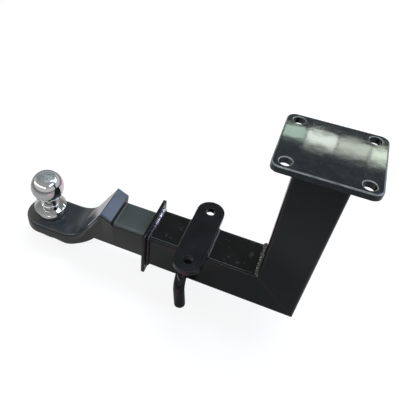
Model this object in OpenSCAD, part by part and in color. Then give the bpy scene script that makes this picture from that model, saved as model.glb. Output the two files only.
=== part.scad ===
// Drop trailer hitch: a bolt-on plate, a welded and mitred square tube, and a
// removable forged ball mount that a bent pin and its spring clip hold in the tube.
// Millimetres. The origin is the middle of the plate's upper face, where it meets
// the vehicle. +X points to the vehicle's front, the ball is at -X, +Z is up.

/* [Mounting plate] */
// Length of the plate along the vehicle
plate_len = 108; // [96:1:130]
// Width of the plate across the vehicle
plate_wid = 98; // [90:1:120]
// Thickness of the plate
plate_thk = 8; // [6:0.5:12]
// Radius of the plate's corners
plate_corner_r = 10; // [6:0.5:14]
// Radius of the plate's upper edge
plate_edge_r = 2; // [0.5:0.5:3]
// Distance between bolt holes along the vehicle
bolt_pitch_x = 80; // [74:1:84]
// Distance between bolt holes across the vehicle
bolt_pitch_y = 75; // [73:1:76]
// Diameter of the four bolt holes
bolt_hole_d = 13; // [9:0.5:14]
// Radius that the punch leaves round each hole's upper rim
hole_rim_r = 1.5; // [0.5:0.5:2]

/* [Square tubes] */
// Wall of the square tube
tube_wall = 4.6; // [4:0.1:6]
// Outer corner radius of the tube
tube_corner_r = 4.5; // [4:0.5:6]
// Inner corner radius of the tube
tube_bore_r = 1.5; // [1:0.5:3]
// Height from the tube's underside to the plate's upper face
drop = 261; // [200:1:320]
// Distance from the leg's axis to the receiver's open mouth
reach = 189; // [180:1:230]
// Free height inside the tube round the shank, on each side
shank_gap = 0.4; // [0.2:0.1:0.8]
// Thickness of the butt weld in the mitre
mitre_weld_thk = 3; // [2:0.5:4]

/* [Collar and chain plate] */
// How far the square collar at the mouth stands out from the tube
collar_lip = 9.5; // [6:0.5:12]
// Thickness of the collar
collar_thk = 5; // [4:0.5:8]
// Corner radius of the collar
collar_corner_r = 2; // [1:0.5:4]
// Distance between the two safety chain holes
chain_pitch = 94; // [86:1:110]
// Width of the flat bar that holds the chain holes
chain_bar_wid = 40; // [34:1:46]
// Thickness of that bar
chain_bar_thk = 8; // [6:0.5:10]
// Radius of the bar's upper edge
chain_edge_r = 1; // [0.5:0.5:2]
// Diameter of the safety chain holes
chain_hole_d = 13; // [10:0.5:16]
// Distance from the mouth to the middle of the bar
chain_from_mouth = 70; // [62:1:90]

/* [Weld beads] */
// Side of the fillet weld under the plate
plate_bead = 5; // [3:0.5:7]
// Side of the fillet weld behind the collar
collar_bead = 5; // [3:0.5:6]
// Side of the fillet weld in the inner corner of the mitre
corner_bead = 7; // [4:0.5:9]
// Side of the fillet welds along the chain bar
chain_bead = 4; // [3:0.5:6]

/* [Ball mount] */
// Side of the square shank
shank_size = 50; // [48:0.5:52]
// Corner radius of the shank
shank_corner_r = 4; // [2:0.5:6]
// Length of shank that shows between the mouth and the lug
shank_show = 52; // [40:1:70]
// Length of shank inside the tube, behind the pin
shank_behind_pin = 52; // [35:1:60]
// Rise of the lug's back edge over the shank
lug_back_rise = 8.5; // [5:0.5:12]
// Rise of the lug's ridge over the shank
lug_rise = 17; // [13:0.5:22]
// Distance from the lug's back face to its ridge
lug_len = 17; // [12:1:24]
// Width of the lug
lug_wid = 60; // [56:0.5:64]
// Height over which the lug's sides flare out from the shank's
lug_flare = 14; // [10:1:18]
// Radius of the lug's edge on the vehicle's right
lug_right_r = 3.5; // [1:0.5:5]
// Radius of its edge on the left
lug_left_r = 1.5; // [1:0.5:5]
// Slope of the face in front of the lug, in degrees
nose_angle = 57.5; // [50:0.5:64]
// Radius where that face runs out into the tongue
nose_fillet_r = 46; // [30:1:56]
// Drop from the shank's upper face to the tongue's
tongue_drop = 54.5; // [45:0.5:65]
// Thickness of the tongue
tongue_thk = 22; // [16:0.5:24]
// Width of the tongue, twice the radius of its round end
tongue_wid = 66; // [62:1:72]
// Distance from the lug's back face to the ball's axis
ball_from_lug = 123; // [115:1:140]
// Distance from the ball's axis to the tip of the tongue
tongue_tip = 40; // [34:1:44]
// Distance from the lug's back face to where the underside begins to drop
step_from_lug = 33; // [26:1:38]
// Radius of the underside's step
step_r = 65; // [60:1:75]
// How far the underside bulges below the tongue's at the foot of that step
knee_drop = 2; // [0.5:0.5:4]
// Half the length of that bulge
knee_len = 22; // [16:1:26]
// Radius of the forging's upper edges at the tongue
edge_top_r = 5; // [3:0.5:6]
// Radius of the forging's lower edges
edge_low_r = 4; // [2:0.5:5]

/* [Tow ball] */
// Diameter of the ball
ball_d = 50; // [48:0.1:51]
// Height of the ball's middle over the tongue
ball_height = 57; // [50:0.5:64]
// Diameter of the flat on top of the ball
ball_flat_d = 28; // [20:1:32]
// Diameter of the ball's neck
neck_d = 25; // [22:0.5:30]
// Radius of the fillets at both ends of the neck
neck_fillet_r = 3; // [2:0.5:4]
// Diameter of the flange's upper rim
flange_d = 50; // [46:0.5:54]
// Diameter of the ring under the flange
ring_d = 43; // [38:0.5:45]
// Height of the flange over the tongue
flange_h = 22; // [18:0.5:25]
// Diameter of the threaded stud
stud_d = 22; // [18:0.5:24]
// Play of the stud in the tongue, on the diameter
stud_play = 0.8; // [0.4:0.1:1.2]
// Width across the flats of the nut
nut_flats = 34; // [32:0.5:38]
// Height of the nut
nut_h = 18; // [14:0.5:22]
// Thickness of the spring washer
washer_thk = 5; // [3:0.5:6]
// Length of the stud below the nut
stud_end = 4; // [2:0.5:8]

/* [Hitch pin and clip] */
// Diameter of the hitch pin
pin_d = 16; // [14:0.5:17]
// Play of the pin in its holes, on the diameter
pin_play = 0.6; // [0.4:0.1:1]
// Distance from the mouth to the pin
pin_from_mouth = 62.5; // [55:0.5:80]
// Radius of the pin's bend, to its middle line
bend_r = 24; // [20:1:30]
// Gap between the tube and the start of the bend
bend_gap = 2; // [1:0.5:5]
// Length of the pin's leg below the pin's axis
pin_leg = 57; // [48:1:75]
// Angle at which the leg hangs off plumb
pin_lean = 7; // [0:1:12]
// Chamfer on the pin's two ends
pin_chamfer = 2; // [1:0.5:3]
// Length of pin beyond the tube's far side
pin_out = 20; // [17:1:26]
// Wire diameter of the spring clip
clip_d = 4; // [3:0.5:4]
// Play of the clip's wire in its hole, on the diameter
clip_play = 0.6; // [0.4:0.1:1]
// Gap between the clip's wire and the collar's side, which it passes when pulled off
clip_gap = 1; // [0.6:0.1:2]
// Radius of the clip's ring, to its middle line
clip_ring_r = 8; // [6:0.5:10]
// Length of the clip's straight leg past the pin
clip_tip = 10; // [6:1:14]

/* [Hidden] */
$fn = 64;

// Small overlap that makes a cut clean
eps = 0.5;
// Larger than the hitch in every direction
far = 600;

tube_bore = shank_size + 2 * shank_gap;
tube_size = tube_bore + 2 * tube_wall;
half = tube_size / 2;
collar_size = tube_size + 2 * collar_lip;
axis_z = half - drop;
mouth_x = -reach;
pin_x = mouth_x + pin_from_mouth;
chain_x = mouth_x + chain_from_mouth;
pin_hole_d = pin_d + pin_play;

// The forging is measured from the lug's back face, s to the rear, h up from
// the shank's axis
lug_x = mouth_x - shank_show;
ball_x = lug_x - ball_from_lug;
shank_h = shank_size / 2;
ridge_h = shank_h + lug_rise;
tongue_h = shank_h - tongue_drop;
tongue_low_h = tongue_h - tongue_thk;
tongue_half = tongue_wid / 2;
tip_centre_s = ball_from_lug + tongue_tip - tongue_half;
tongue_z = axis_z + tongue_h;

// Sloping nose: where its straight face would meet the tongue, and its fillet
nose_run = (ridge_h - tongue_h) / tan(nose_angle);
nose_foot_s = lug_len + nose_run;
nose_tangent = nose_fillet_r * tan(nose_angle / 2);
fillet_from_s = nose_foot_s - nose_tangent * cos(nose_angle);
fillet_to_s = nose_foot_s + nose_tangent;

// Underside step: an arc from the shank's underside, tangent to the tongue's
step_fall = -shank_h - tongue_low_h;
step_run = sqrt(step_r * step_r - (step_r - step_fall) * (step_r - step_fall));
step_to_s = step_from_lug + step_run;
knee_s = step_to_s - 6;
neck_to_s = max(fillet_to_s, knee_s + knee_len) + 1;

// Clip path in its own plane: u along the straight leg to the ring, v up
clip_r = clip_d / 2;
grip_r = pin_d / 2 + clip_r + 0.3;
throat_r = clip_d;
throat_v = clip_d + 0.6;
throat_angle = acos((throat_v + throat_r) / (grip_r + throat_r));
throat_u = (grip_r + throat_r) * sin(throat_angle);
arm_angle = 30;
arm_len = ((clip_ring_r - throat_v - throat_r)
           + (clip_ring_r + throat_r) * cos(arm_angle)) / sin(arm_angle);
ring_u = throat_u + (clip_ring_r + throat_r) * sin(arm_angle) + arm_len * cos(arm_angle);
clip_y = collar_size / 2 + clip_gap + clip_r;

function smooth(t) = let (c = min(1, max(0, t))) c * c * (3 - 2 * c);

// The neck is a hair larger than the shank that runs into it and a hair smaller than
// the tongue that it runs into, so that no two of their faces coincide
function hair(s) = 0.05 * (1 - 2 * smooth(s / neck_to_s));

// Height of the forging's upper surface at s
function top_h(s) = hair(s) +
    (s <= lug_len ? shank_h + lug_back_rise + (lug_rise - lug_back_rise) * s / lug_len
    : s <= fillet_from_s ? ridge_h - (s - lug_len) * tan(nose_angle)
    : s <= fillet_to_s ? tongue_h + nose_fillet_r
        - sqrt(pow(nose_fillet_r, 2) - pow(fillet_to_s - s, 2))
    : tongue_h);

// Height of its lower surface at s, with the knee at the foot of the step
function knee(s) =
    let (t = (s - knee_s) / knee_len) abs(t) < 1 ? knee_drop * pow(1 - t * t, 2) : 0;
function low_h(s) =
    (s <= step_from_lug ? -shank_h
    : s <= step_to_s ? tongue_low_h + step_r - sqrt(step_r * step_r - pow(step_to_s - s, 2))
    : tongue_low_h) - knee(s) - hair(s);

// Half width of its upper and lower edges at s
function top_half(s) = hair(s) +
    lug_wid / 2 + (tongue_wid - lug_wid) / 2 * smooth((s - lug_len) / (fillet_to_s - lug_len));
function low_half(s) = hair(s) +
    shank_h + (tongue_half - shank_h) * smooth((s - step_from_lug + 3) / (step_to_s - step_from_lug));

// Radii of its upper and lower edges at s, for the same reason half a millimetre off
// the shank's and the tongue's
function top_r(s, lug_r) =
    lug_r + (edge_top_r + 0.5 - lug_r) * smooth((s - lug_len) / (fillet_to_s - lug_len));
function low_r(s) =
    shank_corner_r - 0.5 + (edge_low_r - shank_corner_r + 1)
        * smooth((s - step_from_lug) / (step_to_s - step_from_lug));

// Height at s from which the sides flare out to the upper edges
function flare_h(s) = max(s <= lug_len ? shank_h - 3 : -far, top_h(s) - lug_flare);

// One cross-section of the neck at s, as points that run round it
section_steps = 5;
flare_steps = 4;
function corner(s, y, h, r, from, to) =
    [for (i = [0:section_steps])
        let (a = from + (to - from) * i / section_steps)
        [lug_x - s, y + r * cos(a), axis_z + h + r * sin(a)]];
function flare(s, side, r, steps) =
    let (from = flare_h(s), to = top_h(s) - r)
    [for (i = steps)
        let (t = i / flare_steps)
        [lug_x - s, side * (low_half(s) + (top_half(s) - low_half(s)) * smooth(t)),
         axis_z + from + (to - from) * t]];
function section(s) =
    let (ra = top_r(s, lug_left_r), rb = top_r(s, lug_right_r), rl = low_r(s),
         wt = top_half(s), wl = low_half(s) - rl, hl = low_h(s) + rl)
    concat(corner(s, wt - ra, top_h(s) - ra, ra, 0, 90),
           corner(s, rb - wt, top_h(s) - rb, rb, 90, 180),
           flare(s, -1, rb, [flare_steps - 1:-1:0]),
           corner(s, -wl, hl, rl, 180, 270), corner(s, wl, hl, rl, 270, 360),
           flare(s, 1, ra, [0:flare_steps - 1]));

// Stations of the neck: close together on the ridge and on the curves
neck_stations = concat(
    [0, lug_len - 0.6, lug_len + 0.6],
    [for (i = [1:6]) lug_len + (fillet_from_s - lug_len) * i / 6],
    [for (i = [1:14]) fillet_from_s + (neck_to_s - fillet_from_s) * i / 14]);

// Flat rounded shapes

module rounded_rect(len, wid, r) {
    square([len - 2 * r, wid], center = true);
    square([len, wid - 2 * r], center = true);
    for (x = [-1, 1], y = [-1, 1])
        translate([x * (len / 2 - r), y * (wid / 2 - r)]) circle(r);
}

module tube_profile() {
    difference() {
        rounded_rect(tube_size, tube_size, tube_corner_r);
        rounded_rect(tube_bore, tube_bore, tube_bore_r);
    }
}

// A bar with round ends
module bar_profile(pitch, wid) {
    square([wid, pitch], center = true);
    for (y = [-1, 1]) translate([0, y * pitch / 2]) circle(d = wid);
}

// Cross-section of a fillet weld, a little crowned, in the corner at the origin
module bead_profile(leg) {
    intersection() {
        square(leg);
        translate([-leg / 2, -leg / 2]) circle(leg * sqrt(2.5));
    }
}

// A fillet weld right round a square tube, its root on the plane z = 0
module bead_ring(size, r, leg) {
    run = size - 2 * r;
    for (a = [0:90:270]) rotate([0, 0, a]) {
        translate([size / 2, run / 2, 0]) rotate([90, 0, 0])
            linear_extrude(run) bead_profile(leg);
        translate([size / 2 - r, size / 2 - r, 0])
            rotate_extrude(angle = 90) translate([r, 0]) bead_profile(leg);
    }
}

// What a rounded upper edge takes off, in the corner of the profile at the origin
module edge_profile(e) {
    difference() {
        translate([-e, -e]) square(e + eps);
        translate([-e, -e]) circle(e);
    }
}

// Rounds the upper edge of a straight side that runs along Y through the origin
module edge_cut(run, e) {
    rotate([90, 0, 0]) linear_extrude(run, center = true) edge_profile(e);
}

// Rounds the upper edge of a corner of radius c, round the origin
module corner_cut(c, e, turn) {
    rotate_extrude(angle = turn) translate([c, 0]) edge_profile(e);
}

// A hole through a plate whose upper rim is at z = 0, with a rounded rim
module punched_hole(d, thk, rim) {
    translate([0, 0, -thk - eps]) cylinder(d = d, h = thk + 2 * eps);
    rotate_extrude() difference() {
        translate([d / 2 - eps, -rim]) square([rim + eps, rim + eps]);
        translate([d / 2 + rim, -rim]) circle(rim);
    }
}

// Mounting plate

module mounting_plate() {
    c = plate_corner_r;
    e = plate_edge_r;
    color([0.09, 0.11, 0.12]) difference() {
        translate([0, 0, -plate_thk]) linear_extrude(plate_thk)
            rounded_rect(plate_len, plate_wid, c);
        for (a = [0, 180]) rotate([0, 0, a]) {
            translate([plate_len / 2, 0, 0]) edge_cut(plate_wid - 2 * c, e);
            rotate([0, 0, 90]) translate([plate_wid / 2, 0, 0]) edge_cut(plate_len - 2 * c, e);
            translate([plate_len / 2 - c, plate_wid / 2 - c, 0]) corner_cut(c, e, 90);
            mirror([0, 1, 0]) translate([plate_len / 2 - c, plate_wid / 2 - c, 0])
                corner_cut(c, e, 90);
        }
        for (x = [-1, 1], y = [-1, 1])
            translate([x * bolt_pitch_x / 2, y * bolt_pitch_y / 2, 0])
                punched_hole(bolt_hole_d, plate_thk, hole_rim_r);
    }
}

// Mitred square tubes

module leg_bar() {
    translate([0, 0, -drop]) linear_extrude(drop - plate_thk) tube_profile();
}

module receiver_bar() {
    translate([mouth_x, 0, axis_z]) rotate([0, 90, 0])
        linear_extrude(reach + half) tube_profile();
}

// The space beyond a distance from the mitre plane, on the leg's side
module past_mitre(distance) {
    translate([0, 0, axis_z]) rotate([0, 45, 0])
        translate([-far / 2, -far / 2, distance]) cube(far);
}

// The space short of that distance, on the receiver's side
module before_mitre(distance) {
    translate([0, 0, axis_z]) rotate([0, 45, 0])
        translate([-far / 2, -far / 2, distance - far]) cube(far);
}

module pin_hole() {
    translate([pin_x, 0, axis_z]) rotate([90, 0, 0])
        cylinder(d = pin_hole_d, h = tube_size + 2 * eps, center = true);
}

module drop_leg() {
    color([0.14, 0.14, 0.14]) intersection() {
        leg_bar();
        past_mitre(mitre_weld_thk);
    }
}

module receiver_tube() {
    color([0.13, 0.13, 0.13]) difference() {
        intersection() {
            receiver_bar();
            before_mitre(0);
        }
        pin_hole();
    }
}

// The butt weld fills the gap between the two mitred ends, ground flush
module mitre_weld() {
    color([0.16, 0.16, 0.16]) intersection() {
        leg_bar();
        past_mitre(0);
        before_mitre(mitre_weld_thk);
    }
}

module inner_corner_weld() {
    run = tube_size - 2 * tube_corner_r;
    color([0.2, 0.2, 0.19]) translate([-half, run / 2, half - drop + half]) rotate([90, 0, 0])
        linear_extrude(run) mirror([1, 0]) bead_profile(corner_bead);
}

module plate_weld() {
    color([0.15, 0.15, 0.15]) translate([0, 0, -plate_thk]) mirror([0, 0, 1])
        bead_ring(tube_size, tube_corner_r, plate_bead);
}

// Collar and safety chain plate

module receiver_collar() {
    color([0.1, 0.09, 0.1]) translate([mouth_x, 0, axis_z]) rotate([0, 90, 0])
        linear_extrude(collar_thk) difference() {
            rounded_rect(collar_size, collar_size, collar_corner_r);
            rounded_rect(tube_size, tube_size, tube_corner_r);
        }
}

module collar_weld() {
    color([0.3, 0.28, 0.34]) translate([mouth_x + collar_thk, 0, axis_z]) rotate([0, 90, 0])
        bead_ring(tube_size, tube_corner_r, collar_bead);
}

module safety_chain_plate() {
    e = chain_edge_r;
    color([0.13, 0.14, 0.15]) translate([chain_x, 0, axis_z + half]) difference() {
        linear_extrude(chain_bar_thk) bar_profile(chain_pitch, chain_bar_wid);
        for (a = [0, 180]) rotate([0, 0, a]) translate([0, 0, chain_bar_thk]) {
            translate([chain_bar_wid / 2, 0, 0]) edge_cut(chain_pitch, e);
            translate([0, chain_pitch / 2, 0]) corner_cut(chain_bar_wid / 2, e, 180);
        }
        for (y = [-1, 1]) translate([0, y * chain_pitch / 2, chain_bar_thk])
            punched_hole(chain_hole_d, chain_bar_thk, e);
    }
}

module chain_plate_welds() {
    run = tube_size - 2 * tube_corner_r;
    for (side = [0, 1])
        color([0.1, 0.1, 0.1]) translate([chain_x, 0, axis_z + half]) mirror([side, 0, 0])
            translate([chain_bar_wid / 2, run / 2, 0]) rotate([90, 0, 0])
                linear_extrude(run) bead_profile(chain_bead);
}

// Forged ball mount

module shank() {
    inner_x = pin_x + shank_behind_pin;
    translate([lug_x - lug_len, 0, axis_z]) rotate([0, 90, 0])
        linear_extrude(inner_x - lug_x + lug_len)
            rounded_rect(shank_size, shank_size, shank_corner_r);
}

// The neck is lofted through its cross-sections
module neck() {
    n = 4 * (section_steps + 1) + 2 * flare_steps;
    m = len(neck_stations);
    points = [for (s = neck_stations) each section(s)];
    sides = [for (k = [0:m - 2], i = [0:n - 1])
        let (a = k * n + i, b = k * n + (i + 1) % n)
        each [[b, a + n, a], [b + n, a + n, b]]];
    caps = [[for (i = [n - 1:-1:0]) i], [for (i = [0:n - 1]) (m - 1) * n + i]];
    polyhedron(points, concat(sides, caps), convexity = 6);
}

// Half of the tongue's cross-section, from the middle to its rounded edge
module tongue_half_profile() {
    rt = edge_top_r;
    rl = edge_low_r;
    translate([0, tongue_low_h]) square([tongue_half - max(rt, rl), tongue_thk]);
    translate([0, tongue_low_h + rl]) square([tongue_half, tongue_thk - rt - rl]);
    translate([tongue_half - rt, tongue_h - rt]) circle(rt);
    translate([tongue_half - rl, tongue_low_h + rl]) circle(rl);
}

module tongue() {
    straight = tip_centre_s - neck_to_s + 1;
    translate([lug_x - tip_centre_s, 0, axis_z]) {
        for (side = [0, 1]) mirror([0, side, 0])
            rotate([90, 0, 90]) linear_extrude(straight) tongue_half_profile();
        rotate([0, 0, 90]) rotate_extrude(angle = 180) tongue_half_profile();
    }
}

module ball_mount() {
    color([0.25, 0.26, 0.26]) difference() {
        union() {
            shank();
            neck();
            tongue();
        }
        pin_hole();
        translate([ball_x, 0, tongue_z - tongue_thk - eps])
            cylinder(d = stud_d + stud_play, h = tongue_thk + 2 * eps);
    }
}

// Tow ball: ball, waisted neck, coned flange over a ring, and stud, in one piece
module tow_ball_profile() {
    ball_r = ball_d / 2;
    f = neck_fillet_r;
    fillet_x = neck_d / 2 + f;
    low_fillet_h = flange_h + f;
    high_fillet_h = ball_height - sqrt(pow(ball_r + f, 2) - fillet_x * fillet_x);
    neck_top = ball_height - (ball_height - high_fillet_h) * ball_r / (ball_r + f);
    rim_h = flange_h - 4;
    intersection() {
        translate([0, ball_height]) circle(ball_r);
        translate([0, neck_top - 2]) square([ball_r, ball_height - neck_top + 2
            + sqrt(ball_r * ball_r - ball_flat_d * ball_flat_d / 4)]);
    }
    difference() {
        translate([0, flange_h - 1]) square([fillet_x, neck_top - flange_h + 1]);
        translate([fillet_x, high_fillet_h]) circle(f);
        translate([fillet_x, low_fillet_h]) circle(f);
        translate([neck_d / 2, low_fillet_h]) square([2 * f, high_fillet_h - low_fillet_h]);
    }
    polygon([[0, -stud_len], [stud_d / 2 - 2, -stud_len], [stud_d / 2, 2 - stud_len],
             [stud_d / 2, 0], [ring_d / 2 - 1.5, 0], [ring_d / 2, 1.5],
             [ring_d / 2, rim_h - 6.5], [ring_d / 2 - 1, rim_h - 5],
             [flange_d / 2, rim_h - 1], [flange_d / 2, rim_h], [fillet_x, flange_h],
             [0, flange_h]]);
}
stud_len = tongue_thk + washer_thk + nut_h + stud_end;

module tow_ball() {
    color([0.75, 0.75, 0.77]) translate([ball_x, 0, tongue_z])
        rotate_extrude() tow_ball_profile();
}

// Split spring washer, pressed flat
module ball_lock_washer() {
    bore = stud_d + 0.4;
    section = 5.5;
    color([0.62, 0.6, 0.55]) translate([ball_x, 0, tongue_z - tongue_thk - washer_thk])
        difference() {
            cylinder(d = bore + 2 * section, h = washer_thk);
            translate([0, 0, -eps]) cylinder(d = bore, h = washer_thk + 2 * eps);
            rotate([25, 0, 0]) translate([bore / 2 - 1, -0.8, -far / 2])
                cube([2 * section, 1.6, far]);
        }
}

// Hexagon nut with both faces chamfered
module ball_nut() {
    corners_d = nut_flats / cos(30);
    chamfer = (corners_d - nut_flats) / 2;
    rise = chamfer * tan(30);
    color([0.66, 0.64, 0.58])
        translate([ball_x, 0, tongue_z - tongue_thk - washer_thk - nut_h]) difference() {
            intersection() {
                cylinder(d = corners_d, h = nut_h, $fn = 6);
                rotate_extrude() polygon([[0, 0], [corners_d / 2 - chamfer, 0],
                    [corners_d / 2 + 0.01, rise], [corners_d / 2 + 0.01, nut_h - rise],
                    [corners_d / 2 - chamfer, nut_h], [0, nut_h]]);
            }
            translate([0, 0, -eps]) cylinder(d = stud_d, h = nut_h + 2 * eps);
        }
}

// Hitch pin and its spring clip, both turned by the angle at which the leg hangs

module at_pin() {
    translate([pin_x, 0, axis_z]) rotate([0, -pin_lean, 0]) children();
}

// A round bar from the origin along +Z, chamfered at its far end
module pin_bar(len) {
    cylinder(d = pin_d, h = len - pin_chamfer);
    translate([0, 0, len - pin_chamfer])
        cylinder(d1 = pin_d, d2 = pin_d - 2 * pin_chamfer, h = pin_chamfer);
}

module hitch_pin() {
    bend_y = -half - bend_gap;
    color([0.07, 0.07, 0.08]) at_pin() difference() {
        union() {
            translate([0, bend_y, 0]) rotate([-90, 0, 0]) pin_bar(half + pin_out - bend_y);
            translate([0, bend_y, -bend_r]) rotate([90, 0, -90])
                rotate_extrude(angle = 90) translate([bend_r, 0]) circle(d = pin_d);
            translate([0, bend_y - bend_r, -bend_r]) rotate([180, 0, 0])
                pin_bar(pin_leg - bend_r);
        }
        translate([0, clip_y, 0]) rotate([0, 90, 0])
            cylinder(d = clip_d + clip_play, h = pin_d + 2 * eps, center = true);
    }
}

// The clip's wire is bent from bars and arcs whose ends meet inside short sleeves,
// a hair wider than the wire
sleeve_len = 0.8;
sleeve_rise = 0.05;
clip_lap = 0.2;

module clip_sleeve(u, v, angle) {
    translate([u, v]) rotate([0, 90, angle])
        cylinder(r = clip_r + sleeve_rise, h = sleeve_len, center = true);
}

module clip_arc(u, v, r, from, to) {
    lap = clip_lap / r * 180 / PI;
    translate([u, v]) rotate([0, 0, from + lap]) rotate_extrude(angle = to - from - 2 * lap)
        translate([r, 0]) circle(clip_r);
}

module clip_bar(u, v, angle, len) {
    translate([u, v]) rotate([0, 90, angle]) translate([0, 0, clip_lap])
        cylinder(r = clip_r, h = len - 2 * clip_lap);
}

module pin_clip() {
    $fn = 32;
    tip_u = -pin_d / 2 - clip_tip;
    grip = 90 - throat_angle;
    throat_c = -throat_v - throat_r;
    r = clip_ring_r;
    b = arm_angle;
    color([0.7, 0.69, 0.62]) at_pin() translate([0, clip_y, 0]) rotate([90, 0, 180]) {
        clip_bar(tip_u, 0, 0, ring_u - tip_u);
        clip_sleeve(ring_u, 0, 0);
        clip_arc(ring_u, -r, r, -90 - b, 90);
        clip_sleeve(ring_u - r * sin(b), -r - r * cos(b), -b);
        clip_bar(ring_u - r * sin(b), -r - r * cos(b), 180 - b, arm_len);
        clip_sleeve(throat_u + throat_r * sin(b), throat_c + throat_r * cos(b), -b);
        clip_arc(throat_u, throat_c, throat_r, 90 - b, 180 - grip);
        for (side = [-1, 1])
            clip_sleeve(side * grip_r * cos(grip), -grip_r * sin(grip), side * (90 - grip));
        clip_arc(0, 0, grip_r, 180 + grip, 360 - grip);
        clip_arc(-throat_u, throat_c, throat_r, grip, 135);
    }
}

mounting_plate();
drop_leg();
receiver_tube();
receiver_collar();
safety_chain_plate();
mitre_weld();
inner_corner_weld();
plate_weld();
collar_weld();
chain_plate_welds();
ball_mount();
tow_ball();
ball_lock_washer();
ball_nut();
hitch_pin();
pin_clip();
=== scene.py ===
import math
import random

import bmesh
import bpy
from mathutils import Matrix, Vector


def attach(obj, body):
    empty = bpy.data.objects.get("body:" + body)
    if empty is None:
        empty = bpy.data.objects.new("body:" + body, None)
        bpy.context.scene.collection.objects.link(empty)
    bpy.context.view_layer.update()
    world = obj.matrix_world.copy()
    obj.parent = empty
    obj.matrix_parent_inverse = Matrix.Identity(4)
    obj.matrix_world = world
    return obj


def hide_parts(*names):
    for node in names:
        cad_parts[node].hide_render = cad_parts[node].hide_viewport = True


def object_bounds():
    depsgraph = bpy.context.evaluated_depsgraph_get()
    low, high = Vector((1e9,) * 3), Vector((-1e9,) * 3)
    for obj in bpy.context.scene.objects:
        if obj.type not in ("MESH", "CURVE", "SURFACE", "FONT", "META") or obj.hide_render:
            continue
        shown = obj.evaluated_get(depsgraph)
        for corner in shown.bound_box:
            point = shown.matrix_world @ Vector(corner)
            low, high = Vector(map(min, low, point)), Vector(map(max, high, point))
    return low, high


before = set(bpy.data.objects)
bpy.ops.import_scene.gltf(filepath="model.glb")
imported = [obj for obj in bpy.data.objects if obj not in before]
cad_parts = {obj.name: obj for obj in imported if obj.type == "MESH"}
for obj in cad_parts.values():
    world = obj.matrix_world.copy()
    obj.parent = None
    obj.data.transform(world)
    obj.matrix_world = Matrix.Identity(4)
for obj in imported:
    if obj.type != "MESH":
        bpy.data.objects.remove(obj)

cad_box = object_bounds()
bpy.ops.object.select_all(action="DESELECT")


# The studio. A pale floor under the hitch's lowest point, a pale room round it with a
# grey ceiling, a row of long lights far behind that the glossy plate mirrors, and soft
# lights above, in front and to the right. The camera stands where the photograph was
# taken from.
scene = bpy.context.scene
scene.view_settings.view_transform = "Standard"


def linear(hex_colour):
    """An sRGB hex colour such as "8a8c8e" as linear red, green, blue and alpha."""
    channels = [int(hex_colour[i:i + 2], 16) / 255 for i in (0, 2, 4)]
    return [c / 12.92 if c <= 0.04045 else ((c + 0.055) / 1.055) ** 2.4
            for c in channels] + [1.0]


def add(tree, kind, settings=None, **sockets):
    """Add a node. A socket's value is set, or linked if it is another node's output."""
    new = tree.nodes.new("ShaderNode" + kind)
    for name, value in (settings or {}).items():
        setattr(new, name, value)
    for name, value in sockets.items():
        key = int(name[1:]) if name[0] == "_" else name.replace("_", " ")
        if isinstance(value, bpy.types.NodeSocket):
            tree.links.new(value, new.inputs[key])
        else:
            new.inputs[key].default_value = value
    return new


def mix(tree, amount, low, high):
    """The mix of two colours, each a hex colour or another node's output."""
    low, high = (linear(c) if isinstance(c, str) else c for c in (low, high))
    return add(tree, "Mix", {"data_type": "RGBA"}, _0=amount, _6=low, _7=high).outputs[2]


def ramp(tree, value, low, high, to_low=0.0, to_high=1.0):
    """A value carried over from one range to another and held at its ends."""
    return add(tree, "MapRange", Value=value, From_Min=low, From_Max=high,
               To_Min=to_low, To_Max=to_high).outputs[0]


def calc(tree, operation, *values):
    """The sum, product or other result of one operation on numbers."""
    sockets = {"_%d" % i: value for i, value in enumerate(values)}
    return add(tree, "Math", {"operation": operation}, **sockets).outputs[0]


def noise(tree, place, scale, detail=2.0, roughness=0.5):
    """Noise between 0 and 1, about 1 / scale metres from one patch to the next."""
    return add(tree, "TexNoise", Vector=place, Scale=scale, Detail=detail,
               Roughness=roughness).outputs[0]


# The camera was fitted to the photograph's edges
camera_data = bpy.data.cameras.new("photo_camera")
camera_data.sensor_width = 36.0
camera_data.lens = 39.83
camera_data.shift_x = 0.1290
camera_data.shift_y = -0.0443
camera_data.clip_start = 0.01
camera = bpy.data.objects.new("photo_camera", camera_data)
scene.collection.objects.link(camera)
looking = Vector((-0.2527, 0.6671, -0.7007)).normalized()
rightward = Vector((0.9185, 0.3931, 0.0431))
rightward = (rightward - rightward.dot(looking) * looking).normalized()
upward = rightward.cross(looking)
camera.matrix_world = Matrix.Translation((-0.0359, -0.4069, 0.2905)) @ Matrix(
    (rightward, upward, -looking)).transposed().to_4x4()
scene.camera = camera

world = bpy.data.worlds.new("pale_room")
scene.world = world
world.use_nodes = True
tree = world.node_tree
tree.nodes.clear()
rays = add(tree, "LightPath")
direction = add(tree, "TexCoord")
height = add(tree, "SeparateXYZ", Vector=direction.outputs["Generated"])
# Its walls grow paler upwards, and its ceiling is darker behind the hitch than in front
wall = ramp(tree, height.outputs["Z"], -0.15, 0.1, 0.42, 0.80)
ceiling = ramp(tree, height.outputs["Y"], -0.4, 0.3, 0.5, 0.30)
over = add(tree, "MapRange", {"interpolation_type": "SMOOTHSTEP"},
           Value=height.outputs["Z"], From_Min=0.25, From_Max=0.56)
room = add(tree, "Mix", {"data_type": "FLOAT"},
           _0=over.outputs["Result"], _2=wall, _3=ceiling)
plain = add(tree, "Mix", {"data_type": "FLOAT"},
            _0=rays.outputs["Is Camera Ray"], _2=room.outputs[0], _3=1.0)
background = add(tree, "Background", Color=linear("ffffff"), Strength=plain.outputs[0])
add(tree, "OutputWorld", Surface=background.outputs[0])

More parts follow.
